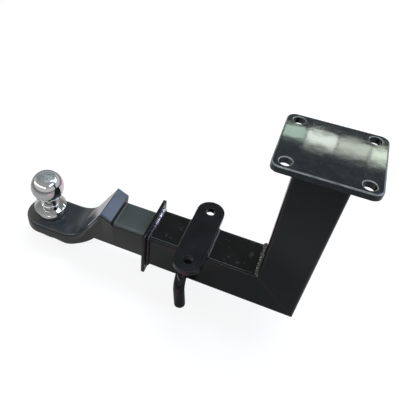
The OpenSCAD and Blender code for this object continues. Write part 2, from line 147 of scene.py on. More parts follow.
bpy.ops.mesh.primitive_plane_add(size=12, location=(-0.17, 0, cad_box[0][2] - 0.0004))
floor = bpy.context.active_object
floor.name = "studio_floor"
paper = bpy.data.materials.new("white_paper")
paper.use_nodes = True
tree = paper.node_tree
tree.nodes.clear()
rays = add(tree, "LightPath")
mirrored = calc(tree, "MAXIMUM", rays.outputs["Is Glossy Ray"], rays.outputs["Is Transmission Ray"])
# Mirrored in chrome the paper glows a pale grey, a painted reflection that dims away
# from the hitch and is paler behind it, with a painted shadow under its drop and painted
# pools of rosy light in two places to the right of the ball
spot = add(tree, "TexCoord").outputs["Object"]
longways = add(tree, "Mapping", Vector=spot, Scale=(0.6, 1, 1))
away = add(tree, "VectorMath", {"operation": "LENGTH"}, _0=longways.outputs[0])
pale = ramp(tree, away.outputs["Value"], 0.22, 0.46, 0.32, 0.02)
where = add(tree, "SeparateXYZ", Vector=spot)
behind = ramp(tree, where.outputs["Y"], 0.02, 0.09, 1.0, 2.2)
# A painted shadow under the drop leg, seen in the mirrored floor
painted_drop_shadow = add(tree, "VectorMath", {"operation": "DISTANCE"}, _0=spot, _1=(0.13, -0.05, 0))
painted_drop_shadow = ramp(tree, painted_drop_shadow.outputs["Value"], 0.16, 0.10, 1.0, 0.25)
pale = calc(tree, "MULTIPLY", pale, behind)
pale = calc(tree, "MULTIPLY", pale, painted_drop_shadow)
# Two painted pools of rosy light to the right of the ball
near = add(tree, "VectorMath", {"operation": "DISTANCE"}, _0=spot, _1=(0.03, -0.19, 0))
near = ramp(tree, near.outputs["Value"], 0.105, 0.07)
far = add(tree, "VectorMath", {"operation": "DISTANCE"}, _0=spot, _1=(-0.12, 0.25, 0))
far = ramp(tree, far.outputs["Value"], 0.14, 0.07)
rosy_light_pools = calc(tree, "MAXIMUM", near, far)
cast = mix(tree, rosy_light_pools, "fffdfb", "e9aacb")
pale = calc(tree, "MULTIPLY_ADD", rosy_light_pools, 0.52, pale)
hue = mix(tree, mirrored, "ffffff", cast)
dimmed = calc(tree, "MULTIPLY", mirrored, pale)
glow = calc(tree, "MULTIPLY_ADD", rays.outputs["Is Camera Ray"], 0.78, dimmed)
own = add(tree, "Emission", Color=hue, Strength=glow)
matt = add(tree, "BsdfDiffuse", Color=(0.3, 0.3, 0.3, 1))
both = add(tree, "AddShader", _0=own.outputs[0], _1=matt.outputs[0])
add(tree, "OutputMaterial", Surface=both.outputs[0])
floor.data.materials.append(paper)


def soft_light(name, place, aim, size, power, colour="ffffff", lie=None, panes=1):
    """A rectangular lamp at place, turned to aim, or a row of panes with bars between
    them. Its long side is level, or lies along the direction given."""
    facing = (Vector(aim) - Vector(place)).normalized()
    upright = Vector(lie).cross(facing) if lie else Vector((0, 0, 1))
    side = facing.cross(upright).normalized()
    up = side.cross(facing)
    bar = 0.07 * size[0] / panes if panes > 1 else 0
    for pane in range(panes):
        lamp = bpy.data.lights.new(name, "AREA")
        lamp.shape = "RECTANGLE"
        lamp.size, lamp.size_y = size[0] / panes - bar, size[1]
        lamp.energy = power / panes
        lamp.color = linear(colour)[:3]
        holder = bpy.data.objects.new(name, lamp)
        scene.collection.objects.link(holder)
        holder.visible_camera = False
        spot = Vector(place) + side * size[0] * ((pane + 0.5) / panes - 0.5)
        turn = Matrix((side, up, -facing)).transposed().to_4x4()
        holder.matrix_world = Matrix.Translation(spot) @ turn


# Four long lights in a row, with narrow gaps that show as dark lines in the reflection
strip_len, strip_gap, strip_wid, housing_wid, first_x = 0.122, 0.0065, 0.05, 0.024, -0.0745
strip_glows = ((8.5, "c6e2d0"), (12.5, "e8f2e6"), (9, "dfeada"), (12, "e4f2de"))
for i, (glow, hue) in enumerate(strip_glows):
    strip_x = first_x + (strip_len + strip_gap) * i
    power = glow * strip_len * strip_wid * math.pi
    soft_light("strip_%d" % i, (strip_x, 1.243, 0.8475), (strip_x, 0, 0),
               (strip_len, strip_wid), power, hue)
    # All but the first have a housing above them that glows more faintly
    if i:
        soft_light("housing_%d" % i, (strip_x, 1.221, 0.879), (strip_x, 0, 0),
                   (strip_len, housing_wid), 0.12 * power, hue)
# A wide lamp overhead
soft_light("soft_above", (-0.10, 0.52, 1.60), (-0.17, 0, -0.15), (1.16, 0.5), 10.5, "e8f0ff")
# A long lamp from the floor on the far left up to the front draws the white streak on the
# ball, and bluish windows to the right light the lug's sloping back
soft_light("long_front", (-0.75, -0.65, 0.2), (-0.30, 0, -0.2), (1.9, 0.07), 3,
           lie=(1.0, -1.1, 0.6))
soft_light("window_right", (0.87, 1.045, 1.086), (-0.25, 0, -0.2), (1.0, 1.0), 10, "d4e4fa")
soft_light("window_front", (1.13, -0.42, 1.09), (-0.36, 0, -0.2), (1.3, 0.45), 4.5, "d2deff",
           panes=3)
# The sky beyond them is a dimmer, deeper blue
soft_light("sky_right", (1.30, 0.95, 1.45), (-0.36, 0, -0.2), (2.4, 0.75), 3.5, "5c84f0")


# Mounting plate: 8 mm steel, punched and edge-rounded, under thick glossy black enamel
# that flowed a little before it dried. It shows orange peel, drag marks along its
# length and dust, with painted highlights on the rims of its bolt holes and a painted
# highlight line along its rounded upper edge.
def finish(name):
    """A new material with an empty node tree."""
    made = bpy.data.materials.new(name)
    made.use_nodes = True
    made.node_tree.nodes.clear()
    return made, made.node_tree


def dress(node, material):
    """Give a CAD node its finish."""
    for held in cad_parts[node].material_slots:
        held.material = material


def coat(piece, material):
    """Give a piece modelled here its finish."""
    piece.data.materials.clear()
    piece.data.materials.append(material)


made, tree = finish("gloss_black_enamel")
place = add(tree, "TexCoord").outputs["Object"]
# Waves 16 mm long from the flow of the enamel, and orange peel 2 mm across
waves = noise(tree, place, 62.0, 1.0)
peel = noise(tree, place, 480.0, 2.0)
# Drag marks, 1 mm wide and 30 mm long, drawn wider than real ones so that they show
along = add(tree, "Mapping", Vector=place, Rotation=(0, 0, math.radians(4)),
            Scale=(33.0, 700.0, 33.0))
drag = noise(tree, along.outputs[0], 1.0, 3.0, 0.6)
# Dust: specks 0.6 mm across, in one cell of about nine
cells = add(tree, "TexVoronoi", Vector=place, Scale=260.0)
speck = ramp(tree, cells.outputs["Distance"], 0.10, 0.06)
chosen = add(tree, "SeparateColor", Color=cells.outputs["Color"])
rare = calc(tree, "GREATER_THAN", chosen.outputs[0], 0.89)
dust = calc(tree, "MULTIPLY", speck, rare)
# The distance to the nearest bolt hole's middle gives a painted highlight ring at its
# rim, broken up by the enamel's waves
bolt_x, bolt_y = 0.040, 0.0375
spot = add(tree, "SeparateXYZ", Vector=place)
beside = calc(tree, "ABSOLUTE", spot.outputs["X"])
beside = calc(tree, "SUBTRACT", beside, bolt_x)
across = calc(tree, "ABSOLUTE", spot.outputs["Y"])
across = calc(tree, "SUBTRACT", across, bolt_y)
flat = add(tree, "CombineXYZ", X=beside, Y=across)
radius = add(tree, "VectorMath", {"operation": "LENGTH"}, _0=flat.outputs[0])
ragged = calc(tree, "MULTIPLY_ADD", peel, 0.002, radius.outputs["Value"])
rim_ring = ramp(tree, ragged, 0.0091, 0.0078)
shallow = ramp(tree, spot.outputs["Z"], -0.0013, -0.0008)
rim_highlight = calc(tree, "MULTIPLY", rim_ring, shallow)
broken = ramp(tree, waves, 0.38, 0.58, to_low=0.25)
rim_highlight = calc(tree, "MULTIPLY", rim_highlight, broken)
# One corner has been scraped
scraped = add(tree, "VectorMath", {"operation": "DISTANCE"}, _0=place, _1=(-0.070, 0.058, 0))
scraped = ramp(tree, scraped.outputs["Value"], 0.030, 0.008, -0.2, 0.16)
scraped = calc(tree, "ADD", scraped, peel)
scraped = ramp(tree, scraped, 0.52, 0.64)
# Dust, the scraped corner and the painted rim highlight share one grey-green colour
wear_and_highlights = calc(tree, "MAXIMUM", rim_highlight, dust)
wear_and_highlights = calc(tree, "MAXIMUM", wear_and_highlights, scraped)
# Along its rounded upper edge a grey-green line of painted highlight, broken up by the
# enamel's waves
facing = add(tree, "NewGeometry")
tilt = add(tree, "SeparateXYZ", Vector=facing.outputs["Normal"])
off_flat = ramp(tree, tilt.outputs["Z"], 0.96, 0.88)
off_side = ramp(tree, tilt.outputs["Z"], 0.25, 0.5)
edge = calc(tree, "MULTIPLY", off_flat, off_side)
highlight_breakup = ramp(tree, waves, 0.3, 0.6, to_low=0.35)
edge = calc(tree, "MULTIPLY", edge, highlight_breakup)
haze = noise(tree, place, 75.0, 4.0, 0.6)
haze = ramp(tree, haze, 0.46, 0.70)
tint = mix(tree, drag, "0e1214", "1a2125")
tint = mix(tree, haze, tint, "242c2f")
tint = mix(tree, wear_and_highlights, tint, "50554f")
colour = mix(tree, edge, tint, "8a928a")
# The painted highlights are made rougher, like the dust and the scraped corner
wear_and_highlights = calc(tree, "MAXIMUM", wear_and_highlights, edge)
smear = ramp(tree, drag, 0.3, 0.75, 0.02, 0.08)
rough = calc(tree, "MULTIPLY_ADD", wear_and_highlights, 0.25, smear)
swell = add(tree, "Bump", Distance=0.00005, Height=waves)
marks = add(tree, "Bump", Distance=0.000007, Height=drag, Normal=swell.outputs[0])
skin = add(tree, "Bump", Distance=0.000013, Height=peel, Normal=marks.outputs[0])
shader = add(tree, "BsdfPrincipled", Base_Color=colour, Roughness=rough,
             Normal=skin.outputs[0])
add(tree, "OutputMaterial", Surface=shader.outputs[0])
dress("mounting_plate", made)


# Drop leg and receiver tube: square tube, 60 mm over 4.6 mm wall, cut at 45 degrees and
# butt-welded; the weld is ground flush. All under satin black paint that lies thin and
# even on the sides and has caught dust and small runs on the receiver's top.
made, tree = finish("satin_black_paint")
place = add(tree, "TexCoord").outputs["Object"]
# Patches 25 mm across where the paint dried duller, and a fine 1.2 mm texture
patches = noise(tree, place, 40.0, 3.0)
grain = noise(tree, place, 800.0, 2.0)
runs = noise(tree, place, 95.0, 4.0, 0.7)
# Dust lies only on faces that look up
facing = add(tree, "NewGeometry")
upness = add(tree, "SeparateXYZ", Vector=facing.outputs["Normal"])
level = ramp(tree, upness.outputs["Z"], 0.8, 0.95)
crumbs = ramp(tree, runs, 0.60, 0.72)
dust = calc(tree, "MULTIPLY", level, crumbs)
tint = mix(tree, patches, "0e100f", "181a19")
colour = mix(tree, dust, tint, "3c4240")
rough = ramp(tree, patches, 0.3, 0.7, 0.10, 0.17)
swell = add(tree, "Bump", Distance=0.00003, Height=patches)
skin = add(tree, "Bump", Distance=0.00002, Height=grain, Normal=swell.outputs[0])
shader = add(tree, "BsdfPrincipled", Base_Color=colour, Roughness=rough,
             Specular_IOR_Level=0.24, Normal=skin.outputs[0])
add(tree, "OutputMaterial", Surface=shader.outputs[0])
satin_black = made
for node in ("drop_leg", "receiver_tube"):
    dress(node, satin_black)

# The ground weld keeps a coarser grit and a breath of red primer through the paint
made, tree = finish("painted_ground_weld")
place = add(tree, "TexCoord").outputs["Object"]
grit = noise(tree, place, 500.0, 3.0, 0.7)
blotch = noise(tree, place, 120.0, 2.0)
colour = mix(tree, blotch, "131313", "2b1c1e")
skin = add(tree, "Bump", Distance=0.00006, Height=grit)
shader = add(tree, "BsdfPrincipled", Base_Color=colour, Roughness=0.42,
             Specular_IOR_Level=0.25, Normal=skin.outputs[0])
add(tree, "OutputMaterial", Surface=shader.outputs[0])
dress("mitre_weld", made)


# Fillet welds: gas-shielded beads with a ripple every few millimetres, laid under the
# plate, in the inner corner of the mitre, behind the collar and along the chain bar.
# Each bead is a row of overlapping drops, melted together by a fine remesh. Most are
# under the tube's paint, which shows them by small gleams, some of them painted on as
# pale flecks.
dice = random.Random(7)
# How far a drop lies out from the seam's root, along a side and both ways in a corner, and
# how thick it is, all as shares of the bead's leg
drop_out, corner_out, drop_thick = 0.26, 0.19, 1.16


def lay_bead(name, node, drops):
    """One weld bead. A drop is its place, the way the seam runs, its radius and length."""
    bpy.ops.object.select_all(action="DESELECT")
    bpy.ops.mesh.primitive_uv_sphere_add(segments=16, ring_count=10, radius=0.5)
    first = bpy.context.active_object
    pieces = [first]
    for spot, run, thick, long in drops:
        copy = bpy.data.objects.new(name, first.data.copy())
        scene.collection.objects.link(copy)
        turn = Vector(run).to_track_quat("Z", "Y")
        copy.matrix_world = (Matrix.Translation(spot) @ turn.to_matrix().to_4x4()
                             @ Matrix.Diagonal((thick, thick, long, 1)))
        pieces.append(copy)
    bpy.data.objects.remove(pieces.pop(0))
    for piece in pieces:
        piece.select_set(True)
    bead = pieces[0]
    bpy.context.view_layer.objects.active = bead
    bpy.ops.object.join()
    bpy.ops.object.transform_apply(location=True, rotation=True, scale=True)
    melt = bead.modifiers.new("melt", "REMESH")
    melt.mode = "VOXEL"
    melt.voxel_size = 0.00045
    bpy.ops.object.modifier_apply(modifier=melt.name)
    settle = bead.modifiers.new("settle", "SMOOTH")
    settle.factor = 0.5
    settle.iterations = 3
    bpy.ops.object.modifier_apply(modifier=settle.name)
    bpy.ops.object.shade_smooth()
    bead.name = name
    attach(bead, "receiver")
    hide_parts(node)
    return bead


def straight_seam(start, end, lift, leg, pitch):
    """Drops along a straight seam; lift points from its root to the bead's crown."""
    start, end, lift = Vector(start), Vector(end), Vector(lift).normalized()
    count = max(2, round((end - start).length / pitch))
    run = (end - start).normalized()
    drops = []
    for i in range(count + 1):
        size = leg * dice.uniform(0.86, 1.10)
        spot = start.lerp(end, i / count) + lift * leg * drop_out
        lean = (run + lift * 0.35).normalized()
        drops.append((spot, lean, size * drop_thick, pitch * dice.uniform(1.55, 1.8)))
    return drops


def ring_seam(centre, axis, half, corner, leg, pitch):
    """Drops round a square tube with rounded corners, whose root plane faces axis."""
    axis, side = Vector(axis), Vector((0, 1, 0))
    other = axis.cross(side)
    drops = []
    flat = half - corner
    for _ in range(4):
        out, run = side, other
        side, other = other, -side
        start = Vector(centre) + out * half - run * flat
        drops += straight_seam(start, start + run * 2 * flat, out + axis, leg, pitch)
        for step in (1, 2):
            angle = math.pi / 6 * step
            bent = out * math.cos(angle) + run * math.sin(angle)
            ahead = run * math.cos(angle) - out * math.sin(angle)
            spot = (Vector(centre) + (out + run) * flat + bent * (corner + leg * corner_out)
                    + axis * leg * corner_out)
            drops.append((spot, ahead, leg * drop_thick, pitch * 1.6))
    return drops


tube_half, tube_corner, plate_thk, collar_thk = 0.030, 0.0045, 0.008, 0.005
receiver_z, mouth_x, chain_x, chain_bar_half = -0.231, -0.189, -0.119, 0.020
flat = tube_half - tube_corner
tube_top = receiver_z + tube_half
under_plate = lay_bead("plate_bead", "plate_weld", ring_seam(
    (0, 0, -plate_thk), (0, 0, -1), tube_half, tube_corner, 0.005, 0.0026))
behind_collar = lay_bead("collar_bead", "collar_weld", ring_seam(
    (mouth_x + collar_thk, 0, receiver_z), (1, 0, 0), tube_half, tube_corner,
    0.005, 0.0030))
inner_corner = lay_bead("inner_corner_bead", "inner_corner_weld", straight_seam(
    (-tube_half, -flat, tube_top), (-tube_half, flat, tube_top), (-1, 0, 1),
    0.0068, 0.0044))
chain_seams = []
for side in (-1, 1):
    edge = chain_x + side * chain_bar_half
    chain_seams += straight_seam((edge, -flat, tube_top), (edge, flat, tube_top),
                                 (side, 0, 1), 0.004, 0.0026)
beside_bar = lay_bead("chain_bar_beads", "chain_plate_welds", chain_seams)

made, tree = finish("painted_weld_bead")
place = add(tree, "TexCoord").outputs["Object"]
scale_marks = noise(tree, place, 700.0, 3.0, 0.65)
soot = noise(tree, place, 150.0, 3.0)
# Painted glints: pale flecks 2 mm across, where the bead catches the light
glint_flecks = noise(tree, place, 430.0, 2.0)
glint_flecks = ramp(tree, glint_flecks, 0.57, 0.66)
# They lie on the two beads at the drop leg, not along the chain bar
at_leg = add(tree, "SeparateXYZ", Vector=place)
at_leg = ramp(tree, at_leg.outputs["X"], -0.07, -0.05)
glint_flecks = calc(tree, "MULTIPLY", glint_flecks, at_leg)
colour = mix(tree, soot, "0e100f", "4c4d44")
colour = mix(tree, glint_flecks, colour, "a3a397")
rough = ramp(tree, soot, 0.3, 0.7, 0.10, 0.26)
skin = add(tree, "Bump", Distance=0.00008, Height=scale_marks)
shader = add(tree, "BsdfPrincipled", Base_Color=colour, Roughness=rough,
             Normal=skin.outputs[0])
add(tree, "OutputMaterial", Surface=shader.outputs[0])
for bead in (under_plate, inner_corner, beside_bar):
    coat(bead, made)

# The collar's bead is the one bright weld: on top, silvery steel shows through thin paint
made, tree = finish("bright_weld_bead")
place = add(tree, "TexCoord").outputs["Object"]
scale_marks = noise(tree, place, 600.0, 3.0, 0.65)
patches = noise(tree, place, 150.0, 5.0, 0.75)
spot = add(tree, "SeparateXYZ", Vector=place)
far_half = ramp(tree, spot.outputs["Y"], -0.018, 0.004, -0.12, 0.0)
upper = ramp(tree, spot.outputs["Z"], -0.204, -0.201, to_low=-0.18)
patches = calc(tree, "ADD", patches, upper)
patches = calc(tree, "ADD", patches, far_half)
bare = ramp(tree, patches, 1.40, 1.52)
colour = mix(tree, bare, "17151c", "e6e2f2")
skin = add(tree, "Bump", Distance=0.00008, Height=scale_marks)
shader = add(tree, "BsdfPrincipled", Base_Color=colour, Roughness=0.2,
             Metallic=bare, Normal=skin.outputs[0])
add(tree, "OutputMaterial", Surface=shader.outputs[0])
coat(behind_collar, made)


# Receiver collar: a square ring of 5 mm plate, flame-cut, slipped over the mouth and
# welded behind. Its edges are broken with a file and painted with the tube.
def pick(kind, test):
    """In edit mode, select the vertices, edges or faces whose middle passes the test."""
    bpy.ops.mesh.select_mode(type=kind)
    bpy.ops.mesh.select_all(action="DESELECT")
    shape = bmesh.from_edit_mesh(bpy.context.edit_object.data)
    for part in {"VERT": shape.verts, "EDGE": shape.edges, "FACE": shape.faces}[kind]:
        if kind == "VERT":
            middle = part.co
        elif kind == "EDGE":
            middle = (part.verts[0].co + part.verts[1].co) / 2
        else:
            middle = part.calc_center_median()
        if test(middle, part):
            part.select_set(True)
    bmesh.update_edit_mesh(bpy.context.edit_object.data)


def lengthways(at, edge):
    """Whether an edge runs along X."""
    return abs(edge.verts[0].co.x - edge.verts[1].co.x) > 0.001


def start_box(name, low, high):
    """A box between two corners, its place in its mesh, left in edit mode."""
    bpy.ops.object.select_all(action="DESELECT")
    middle = [(a + b) / 2 for a, b in zip(low, high)]
    bpy.ops.mesh.primitive_cube_add(size=1, location=middle)
    box = bpy.context.active_object
    box.name = name
    bpy.ops.transform.resize(value=[b - a for a, b in zip(low, high)])
    bpy.ops.object.transform_apply(location=True, rotation=True, scale=True)
    bpy.ops.object.mode_set(mode="EDIT")
    return box


def cut_away(piece, tool):
    """Take one solid out of another and remove the tool."""
    bpy.ops.object.select_all(action="DESELECT")
    bpy.context.view_layer.objects.active = piece
    cut = piece.modifiers.new("cut", "BOOLEAN")
    cut.operation = "DIFFERENCE"
    cut.solver = "EXACT"
    cut.object = tool
    bpy.ops.object.modifier_apply(modifier=cut.name)
    bpy.data.objects.remove(tool)


def soften_edges(piece, radius, angle):
    """Round the edges sharper than angle, if a radius is given, and shade the rest smooth."""
    bpy.ops.object.select_all(action="DESELECT")
    piece.select_set(True)
    bpy.context.view_layer.objects.active = piece
    if radius:
        soft = piece.modifiers.new("soft_edges", "BEVEL")
        soft.limit_method = "ANGLE"
        soft.angle_limit = math.radians(angle)
        soft.width = radius
        soft.segments = 3
        bpy.ops.object.modifier_apply(modifier=soft.name)
    bpy.ops.object.shade_smooth_by_angle(angle=math.radians(angle))


collar_half, collar_corner, file_r = 0.0395, 0.002, 0.0007
collar = start_box("square_collar", (mouth_x, -collar_half, receiver_z - collar_half),
                   (mouth_x + collar_thk, collar_half, receiver_z + collar_half))
pick("EDGE", lengthways)
bpy.ops.mesh.bevel(offset=collar_corner, segments=4, affect="EDGES")
bpy.ops.object.mode_set(mode="OBJECT")
bore = start_box("collar_bore", (mouth_x - 0.01, -tube_half, receiver_z - tube_half),
                 (mouth_x + 0.02, tube_half, receiver_z + tube_half))
pick("EDGE", lengthways)
bpy.ops.mesh.bevel(offset=tube_corner, segments=6, affect="EDGES")
bpy.ops.object.mode_set(mode="OBJECT")
cut_away(collar, bore)
soften_edges(collar, file_r, 50.0)
coat(collar, satin_black)
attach(collar, "receiver")
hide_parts("receiver_collar")


# Safety chain plate: 40 x 8 mm flat bar with round ends and two drilled holes, welded
# across the receiver. Its paint is a little duller and bluer than the tube's.
made, tree = finish("satin_blue_black_paint")
place = add(tree, "TexCoord").outputs["Object"]
# Patches 22 mm across where the paint dried duller, and a fine 1.1 mm texture
patches = noise(tree, place, 45.0, 3.0)
grain = noise(tree, place, 900.0, 2.0)
tint = mix(tree, patches, "0d0f11", "151719")
rough = ramp(tree, patches, 0.3, 0.7, 0.17, 0.26)
skin = add(tree, "Bump", Distance=0.00002, Height=grain)
shader = add(tree, "BsdfPrincipled", Base_Color=tint, Roughness=rough,
             Specular_IOR_Level=0.25, Normal=skin.outputs[0])
add(tree, "OutputMaterial", Surface=shader.outputs[0])
dress("safety_chain_plate", made)


# Ball mount: one drop forging in grey-black primer. A square shank, a lug whose upper
# part flares wider than the shank, a nose that slopes down to the flat tongue, and a
# round tip. It is drawn section by section from the shank and its tip is spun.
MM = 0.001
axis_z, lug_x, ball_x, pin_x, shank_end_x = -0.231, -0.241, -0.364, -0.1265, -0.0745
# Sizes in mm: s runs from the lug's back face to the tip, h up from the shank's axis
shank_half, shank_corner, lug_len, lug_half, tongue_half = 25.0, 4.0, 17.0, 30.0, 33.0
back_h, ridge_h, tongue_h, low_tongue_h = 33.5, 42.0, -29.5, -51.5
back_fillet, back_edge_r, ridge_r = 3.0, 0.9, 0.5
# The flare starts at flare_h, rises to the lug's ridge, then keeps below the nose's top
flare_h, flare_rise, nose_flare = 17.5, 10.5, 14.0
nose_angle = math.radians(57.5)
nose_slope = math.tan(nose_angle)
nose_r, step_s, step_r, tip_s = 46.0, 33.0, 65.0, 130.0
# Radii of its upper edges: at the lug, then all round the tongue. The right edge is sharper
# from the ridge down the nose's straight slope. The lower part widens from widen_s on.
lug_right_r, lug_left_r, tongue_r, widen_s = 3.5, 1.5, 5.0, 30.0
sharper_by, sharper_in, blunt_s, blunt_in = 1.9, 4.0, 38.0, 12.0
nose_foot = lug_len + (ridge_h - tongue_h) / nose_slope
nose_tangent = nose_r * math.tan(nose_angle / 2)
nose_from = nose_foot - nose_tangent * math.cos(nose_angle)
nose_to = nose_foot + nose_tangent
step_fall = -shank_half - low_tongue_h
step_to = step_s + math.sqrt(step_r ** 2 - (step_r - step_fall) ** 2)
knee_s, knee_len, knee_drop = step_to - 6, 22.0, 2.0


def ease(t):
    """A smooth step from 0 to 1."""
    t = min(1.0, max(0.0, t))
    return t * t * (3 - 2 * t)


def section(s):
    """The forging's sizes at s mm behind the lug's back face, heights from the axis."""
    if s < 0:
        # The shank, and the fillet between its top and the lug's back face
        reach = 1 + max(s, -back_fillet) / back_fillet
        top = shank_half + back_fillet * (1 - math.sqrt(1 - reach ** 2))
        return {"top": top, "low": -shank_half, "top_half": shank_half, "low_half": shank_half,
                "from": flare_h, "right_r": shank_corner, "left_r": shank_corner}
    climb = back_h + (ridge_h - back_h) * s / lug_len
    fall = ridge_h - (s - lug_len) * nose_slope
    # A soft minimum of the two slopes gives the ridge its small radius
    top = -ridge_r * math.log(math.exp(-climb / ridge_r) + math.exp(-fall / ridge_r))
    if s > nose_from:
        top = tongue_h
        if s < nose_to:
            top += nose_r - math.sqrt(nose_r ** 2 - (nose_to - s) ** 2)
    low = -shank_half if s < step_s else low_tongue_h
    if step_s <= s < step_to:
        low += step_r - math.sqrt(step_r ** 2 - (step_to - s) ** 2)
    bulge = (s - knee_s) / knee_len
    if abs(bulge) < 1:
        low -= knee_drop * (1 - bulge * bulge) ** 2
    blend = ease((s - lug_len) / (nose_to - lug_len))
    # The lug's back edges are rounded
    edge = back_edge_r * (1 - math.sqrt(1 - (1 - min(s, back_edge_r) / back_edge_r) ** 2))
    start = flare_h + flare_rise * ease(s / lug_len) if s <= lug_len else top - nose_flare
    sharp = sharper_by * ease((s - lug_len) / sharper_in) * (1 - ease((s - blunt_s) / blunt_in))
    spread = ease((s - widen_s) / (step_to - step_s))
    return {"top": top - edge, "low": low,
            "top_half": lug_half + (tongue_half - lug_half) * blend - edge,
            "low_half": shank_half + (tongue_half - shank_half) * spread,
            "from": start, "left_r": lug_left_r + (tongue_r - lug_left_r) * blend,
            "right_r": lug_right_r + (tongue_r - lug_right_r) * blend - sharp}


open_end_x, half = lug_x + back_fillet * MM, shank_half * MM
forging = start_box("forged_ball_mount", (open_end_x, -half, axis_z - half),
                    (shank_end_x, half, axis_z + half))
pick("EDGE", lengthways)
bpy.ops.mesh.bevel(offset=shank_corner * MM, segments=6, affect="EDGES")
# A middle row, and four rows on each side that later take the lug's flare
row_heights = (flare_h, 18.6, 19.6, 20.4)
for height in row_heights:
    bpy.ops.mesh.select_all(action="SELECT")
    bpy.ops.mesh.bisect(plane_co=(0, 0, axis_z + height * MM), plane_no=(0, 0, 1))
bpy.ops.mesh.select_all(action="SELECT")
bpy.ops.mesh.bisect(plane_co=(0, 0, 0), plane_no=(0, 1, 0))
pick("FACE", lambda at, face: at.x < open_end_x + 0.0001)
bpy.ops.mesh.delete(type="FACE")
# Every vertex of the open end is marked with the group it moves with; what is extruded
# from it keeps the mark
rows = ["mid_top", "mid_low"] + [side + part for side in ("right_", "left_")
                                 for part in ("top", "low", "0", "1", "2", "3")]
corner_from = shank_half - shank_corner - 0.1
pick("VERT", lambda at, vert: at.x < open_end_x + 0.0001)
shape = bmesh.from_edit_mesh(forging.data)
mark = shape.verts.layers.int.new("row")
for vert in [v for v in shape.verts if v.select]:
    y, h = vert.co.y / MM, (vert.co.z - axis_z) / MM
    side = "mid_" if abs(y) < 0.01 else "right_" if y < 0 else "left_"
    near = min(range(4), key=lambda row: abs(row_heights[row] - h))
    part = "top" if h > corner_from else "low" if h < -corner_from else str(near)
    vert[mark] = rows.index(side + part)


def end_loop():
    """The group of each of the open end's vertices, which are the selected ones."""
    shape = bmesh.from_edit_mesh(forging.data)
    shape.verts.index_update()
    mark = shape.verts.layers.int["row"]
    return {vert.index: rows[vert[mark]] for vert in shape.verts if vert.select}


def shift(keys, by, about=None, scale=None):
    """Move, and if asked scale, the end loop's vertices in these groups."""
    shape = bmesh.from_edit_mesh(bpy.context.edit_object.data)
    shape.verts.ensure_lookup_table()
    for part in (*shape.faces, *shape.edges, *shape.verts):
        part.select_set(False)
    for index, row in current.items():
        if row in keys:
            shape.verts[index].select_set(True)
    shape.select_flush(True)
    bmesh.update_edit_mesh(bpy.context.edit_object.data)
    if max(abs(c) for c in by) > 1e-7:
        bpy.ops.transform.translate(value=by)
    if scale and abs(scale - 1) > 1e-4:
        bpy.ops.transform.resize(value=(1, scale, scale), center_override=about)


# The sections are closest together where the back fillet and the ridge curve most
stations = [-2.4, -1.6, -0.9, -0.4, -0.1, 0.0, 0.15, 0.45, 0.9, 5, 10, 14.5, 15.8, 16.4, 16.8,
            17.2, 17.6, 18.2, 19.5, 23, 28]
neck_end, neck_steps = knee_s + knee_len + 1, 22
stations += [step_s + (neck_end - step_s) * i / neck_steps for i in range(neck_steps + 1)]
stations += [tip_s]
current = end_loop()
sizes = section(-back_fillet)
for old_s, s in zip([-back_fillet] + stations, stations):
    new = section(s)
    bpy.ops.mesh.select_mode(type="VERT")
    shift(rows, (0, 0, 0))
    bpy.ops.mesh.select_mode(type="EDGE")
    bpy.ops.mesh.extrude_edges_move(TRANSFORM_OT_translate={"value": ((old_s - s) * MM, 0, 0)})
    bpy.ops.mesh.select_mode(type="VERT")
    current = end_loop()
    shift({"mid_top"}, (0, 0, (new["top"] - sizes["top"]) * MM))
    shift({"mid_low", "right_low", "left_low"}, (0, 0, (new["low"] - sizes["low"]) * MM))
    for side, sign in (("right", -1), ("left", 1)):
        corner = (lug_x - s * MM, sign * new["top_half"] * MM, axis_z + new["top"] * MM)
        shift({side + "_top"}, (0, sign * (new["top_half"] - sizes["top_half"]) * MM,
                                (new["top"] - sizes["top"]) * MM),
              corner, new[side + "_r"] / sizes[side + "_r"])
        shift({side + "_low"}, (0, sign * (new["low_half"] - sizes["low_half"]) * MM, 0))
        if s < 0:
            continue
        for row in range(4):
            shape = bmesh.from_edit_mesh(forging.data)
            shape.verts.ensure_lookup_table()
            held = [shape.verts[index].co for index in current
                    if current[index] == "%s_%d" % (side, row)][0]
            t = row / 4
            to = new["top"] - new[side + "_r"]
            y = sign * (new["low_half"] + (new["top_half"] - new["low_half"]) * ease(t)) * MM
            z = axis_z + (new["from"] + (to - new["from"]) * t) * MM
            shift({"%s_%d" % (side, row)}, (0, y - held.y, z - held.z))
    sizes = new

# The tip: the right half of the last section spun half a turn
shift([row for row in rows if not row.startswith("left")], (0, 0, 0))
bpy.ops.mesh.select_mode(type="EDGE")
bpy.ops.mesh.spin(steps=28, angle=math.pi, center=(lug_x - tip_s * MM, 0, axis_z),
                  axis=(0, 0, 1))
bpy.ops.mesh.select_all(action="SELECT")
bpy.ops.mesh.remove_doubles(threshold=0.00002)
bpy.ops.mesh.normals_make_consistent(inside=False)
bpy.ops.object.mode_set(mode="OBJECT")
forging.data.attributes.remove(forging.data.attributes["row"])


def drill(piece, place, axis, diameter, depth):
    """A round hole through a piece."""
    bpy.ops.object.select_all(action="DESELECT")
    turn = Vector(axis).to_track_quat("Z", "Y").to_euler()
    bpy.ops.mesh.primitive_cylinder_add(vertices=64, radius=diameter / 2, depth=depth,
                                        location=place, rotation=turn)
    cut_away(piece, bpy.context.active_object)


pin_hole_d, stud_hole_d = 0.0166, 0.0228
drill(forging, (pin_x, 0, axis_z), (0, 1, 0), pin_hole_d, 0.08)
drill(forging, (ball_x, 0, axis_z - 0.040), (0, 0, 1), stud_hole_d, 0.06)
soften_edges(forging, 0, 40.0)
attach(forging, "ball_mount")
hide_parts("ball_mount")

made, tree = finish("satin_grey_primer")
place = add(tree, "TexCoord").outputs["Object"]
